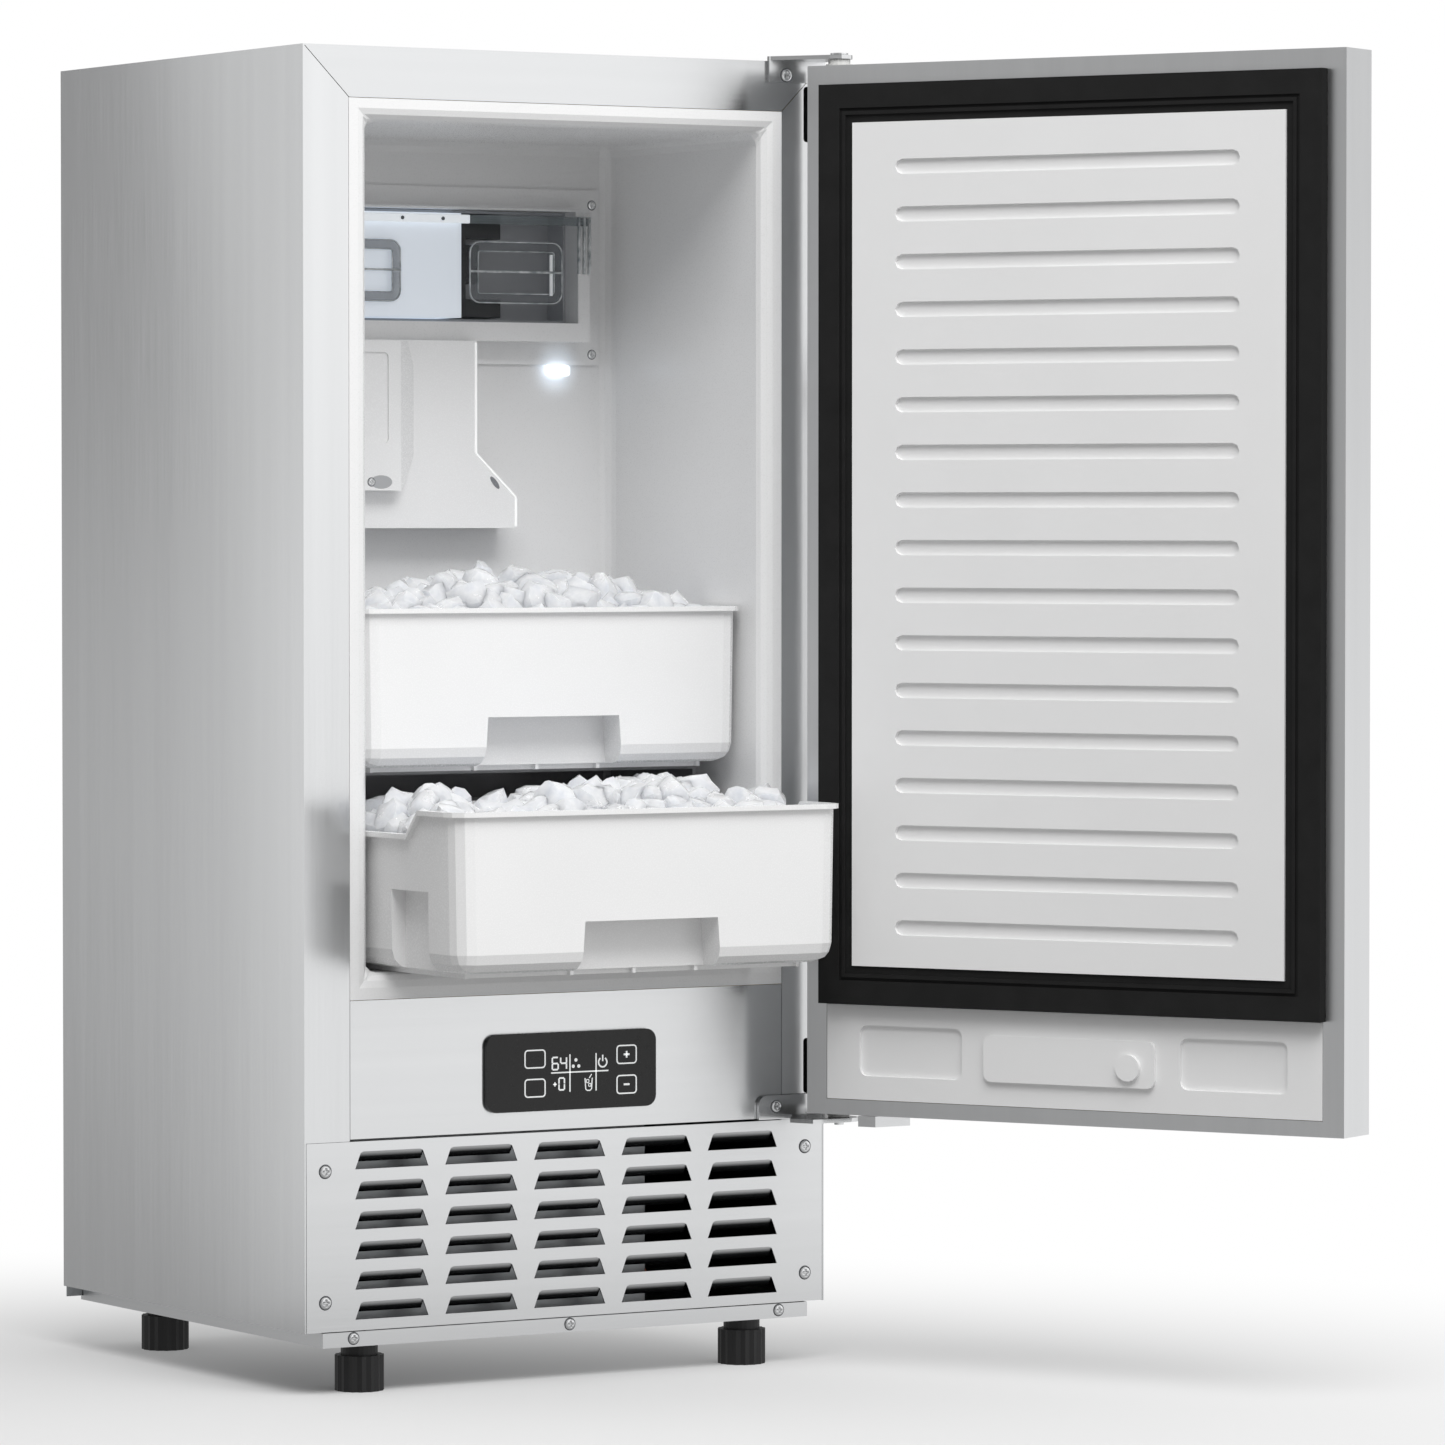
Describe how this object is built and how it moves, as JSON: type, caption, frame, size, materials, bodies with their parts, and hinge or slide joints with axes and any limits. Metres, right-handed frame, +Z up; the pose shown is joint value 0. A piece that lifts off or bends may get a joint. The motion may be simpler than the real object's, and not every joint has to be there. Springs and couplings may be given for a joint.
{
  "type": "nugget ice maker",
  "caption": "Narrow steel cabinet with a swing door, pull-out ice bins under a chute, a louvred grille, a touch panel and levelling feet.",
  "frame": {"origin": "centre of the footprint of the whole object with its door open as in the picture, on the floor", "axes": "+Z up, -Y out of the cabinet's front, +X to the right seen from the front"},
  "size_m": [0.5648, 0.7102, 0.8306],
  "materials": {
    "brushed_steel": "satin",
    "galvanised": "satin",
    "painted_housing": "satin",
    "fin_aluminium": "satin",
    "copper": "satin",
    "white_plastic": "satin",
    "liner_plastic": "satin",
    "black_plastic": "matte",
    "black_glass": "gloss",
    "clear_plastic": "gloss",
    "lamp_lens": "satin",
    "gasket_rubber": "matte",
    "hose_rubber": "matte",
    "circuit_board": "satin",
    "foam": "matte"
  },
  "bodies": {
    "cabinet": {"left_side_panel": "brushed_steel", "right_side_panel": "brushed_steel", "top_panel": "brushed_steel", "rear_panel": "galvanised", "base_tray": "brushed_steel", "grille_panel": "brushed_steel", "control_fascia": "brushed_steel", "touch_panel": "black_glass", "control_board": "circuit_board", "inner_liner": "liner_plastic", "insulation": "foam", "partition_shelf": "galvanised", "bin_support": "black_plastic", "module_frame": "liner_plastic", "module_cavity": "black_plastic", "outlet_housing": "white_plastic", "ice_chute": "white_plastic", "level_sensor": "black_glass", "lamp_lens": "lamp_lens", "gear_motor": "painted_housing", "evaporator_barrel": "brushed_steel", "extruder_head": "white_plastic", "barrel_bracket": "galvanised", "water_reservoir": "white_plastic", "inlet_valve": "white_plastic", "drain_pump": "black_plastic", "drain_hose": "hose_rubber", "supply_hose": "white_plastic", "power_inlet": "black_plastic", "condenser": "fin_aluminium", "fan_shroud": "black_plastic", "fan_motor": "painted_housing", "fan_motor_bracket": "galvanised", "compressor": "painted_housing", "discharge_tube": "copper", "suction_tube": "copper", "liquid_tube": "copper", "upper_hinge_bracket": "brushed_steel", "lower_hinge_bracket": "brushed_steel", "upper_hinge_pin": "brushed_steel", "lower_hinge_pin": "brushed_steel"},
    "door": {"door_skin": "brushed_steel", "door_insulation": "foam", "door_inner_panel": "white_plastic", "door_gasket": "gasket_rubber", "door_lower_panel": "white_plastic", "door_handle": "brushed_steel", "upper_hinge_bush": "white_plastic", "lower_hinge_bush": "white_plastic", "door_stop_plate": "brushed_steel"},
    "lower_bin_body": {"lower_bin": "white_plastic"},
    "upper_bin_body": {"upper_bin": "white_plastic"},
    "cover": {"module_cover": "clear_plastic"},
    "fan": {"condenser_fan": "black_plastic"},
    "auger_body": {"auger": "brushed_steel"},
    "float_body": {"float": "black_plastic"},
    "front_left_foot": {"foot_front_left": "black_plastic"},
    "front_right_foot": {"foot_front_right": "black_plastic"},
    "rear_left_foot": {"foot_rear_left": "black_plastic"},
    "rear_right_foot": {"foot_rear_right": "black_plastic"}
  },
  "joints": [
    {"name": "door_hinge", "type": "hinge", "parent": "cabinet", "child": "door", "pos_m": [0.08168, -0.02202, 0.4921], "axis": [0, 0, 1], "range_deg": [-118.1, 2]},
    {"name": "lower_bin_slide", "type": "slide", "parent": "cabinet", "child": "lower_bin_body", "axis": [0, -1, 0], "range_m": [-0.1233, 0.0025]},
    {"name": "upper_bin_slide", "type": "slide", "parent": "cabinet", "child": "upper_bin_body", "axis": [0, -1, 0], "range_m": [0, 0.12]},
    {"name": "cover_hinge", "type": "hinge", "parent": "cabinet", "child": "cover", "pos_m": [-0.09602, 0.18208, 0.738], "axis": [-1, 0, 0], "range_deg": [0, 80]},
    {"name": "condenser_fan_spin", "type": "hinge", "parent": "cabinet", "child": "fan", "pos_m": [-0.13602, 0.0985, 0.106], "axis": [0, 1, 0], "continuous": true},
    {"name": "auger_spin", "type": "hinge", "parent": "cabinet", "child": "auger_body", "pos_m": [-0.13602, 0.29138, 0.51], "axis": [0, 0, 1], "continuous": true},
    {"name": "float_slide", "type": "slide", "parent": "cabinet", "child": "float_body", "axis": [0, 0, 1], "range_m": [0, 0.03]},
    {"name": "front_left_foot_thread", "type": "hinge", "parent": "cabinet", "child": "front_left_foot", "pos_m": [-0.23452, 0.03178, 0.02], "axis": [0, 0, 1], "continuous": true},
    {"name": "front_right_foot_thread", "type": "hinge", "parent": "cabinet", "child": "front_right_foot", "pos_m": [0.04248, 0.03178, 0.02], "axis": [0, 0, 1], "continuous": true},
    {"name": "rear_left_foot_thread", "type": "hinge", "parent": "cabinet", "child": "rear_left_foot", "pos_m": [-0.23452, 0.29388, 0.02], "axis": [0, 0, 1], "continuous": true},
    {"name": "rear_right_foot_thread", "type": "hinge", "parent": "cabinet", "child": "rear_right_foot", "pos_m": [0.04248, 0.29388, 0.02], "axis": [0, 0, 1], "continuous": true}
  ],
  "couplings": [
    {"joint": "lower_bin_slide", "follows": "door_hinge", "m_per_rad": 0.05977}
  ]
}
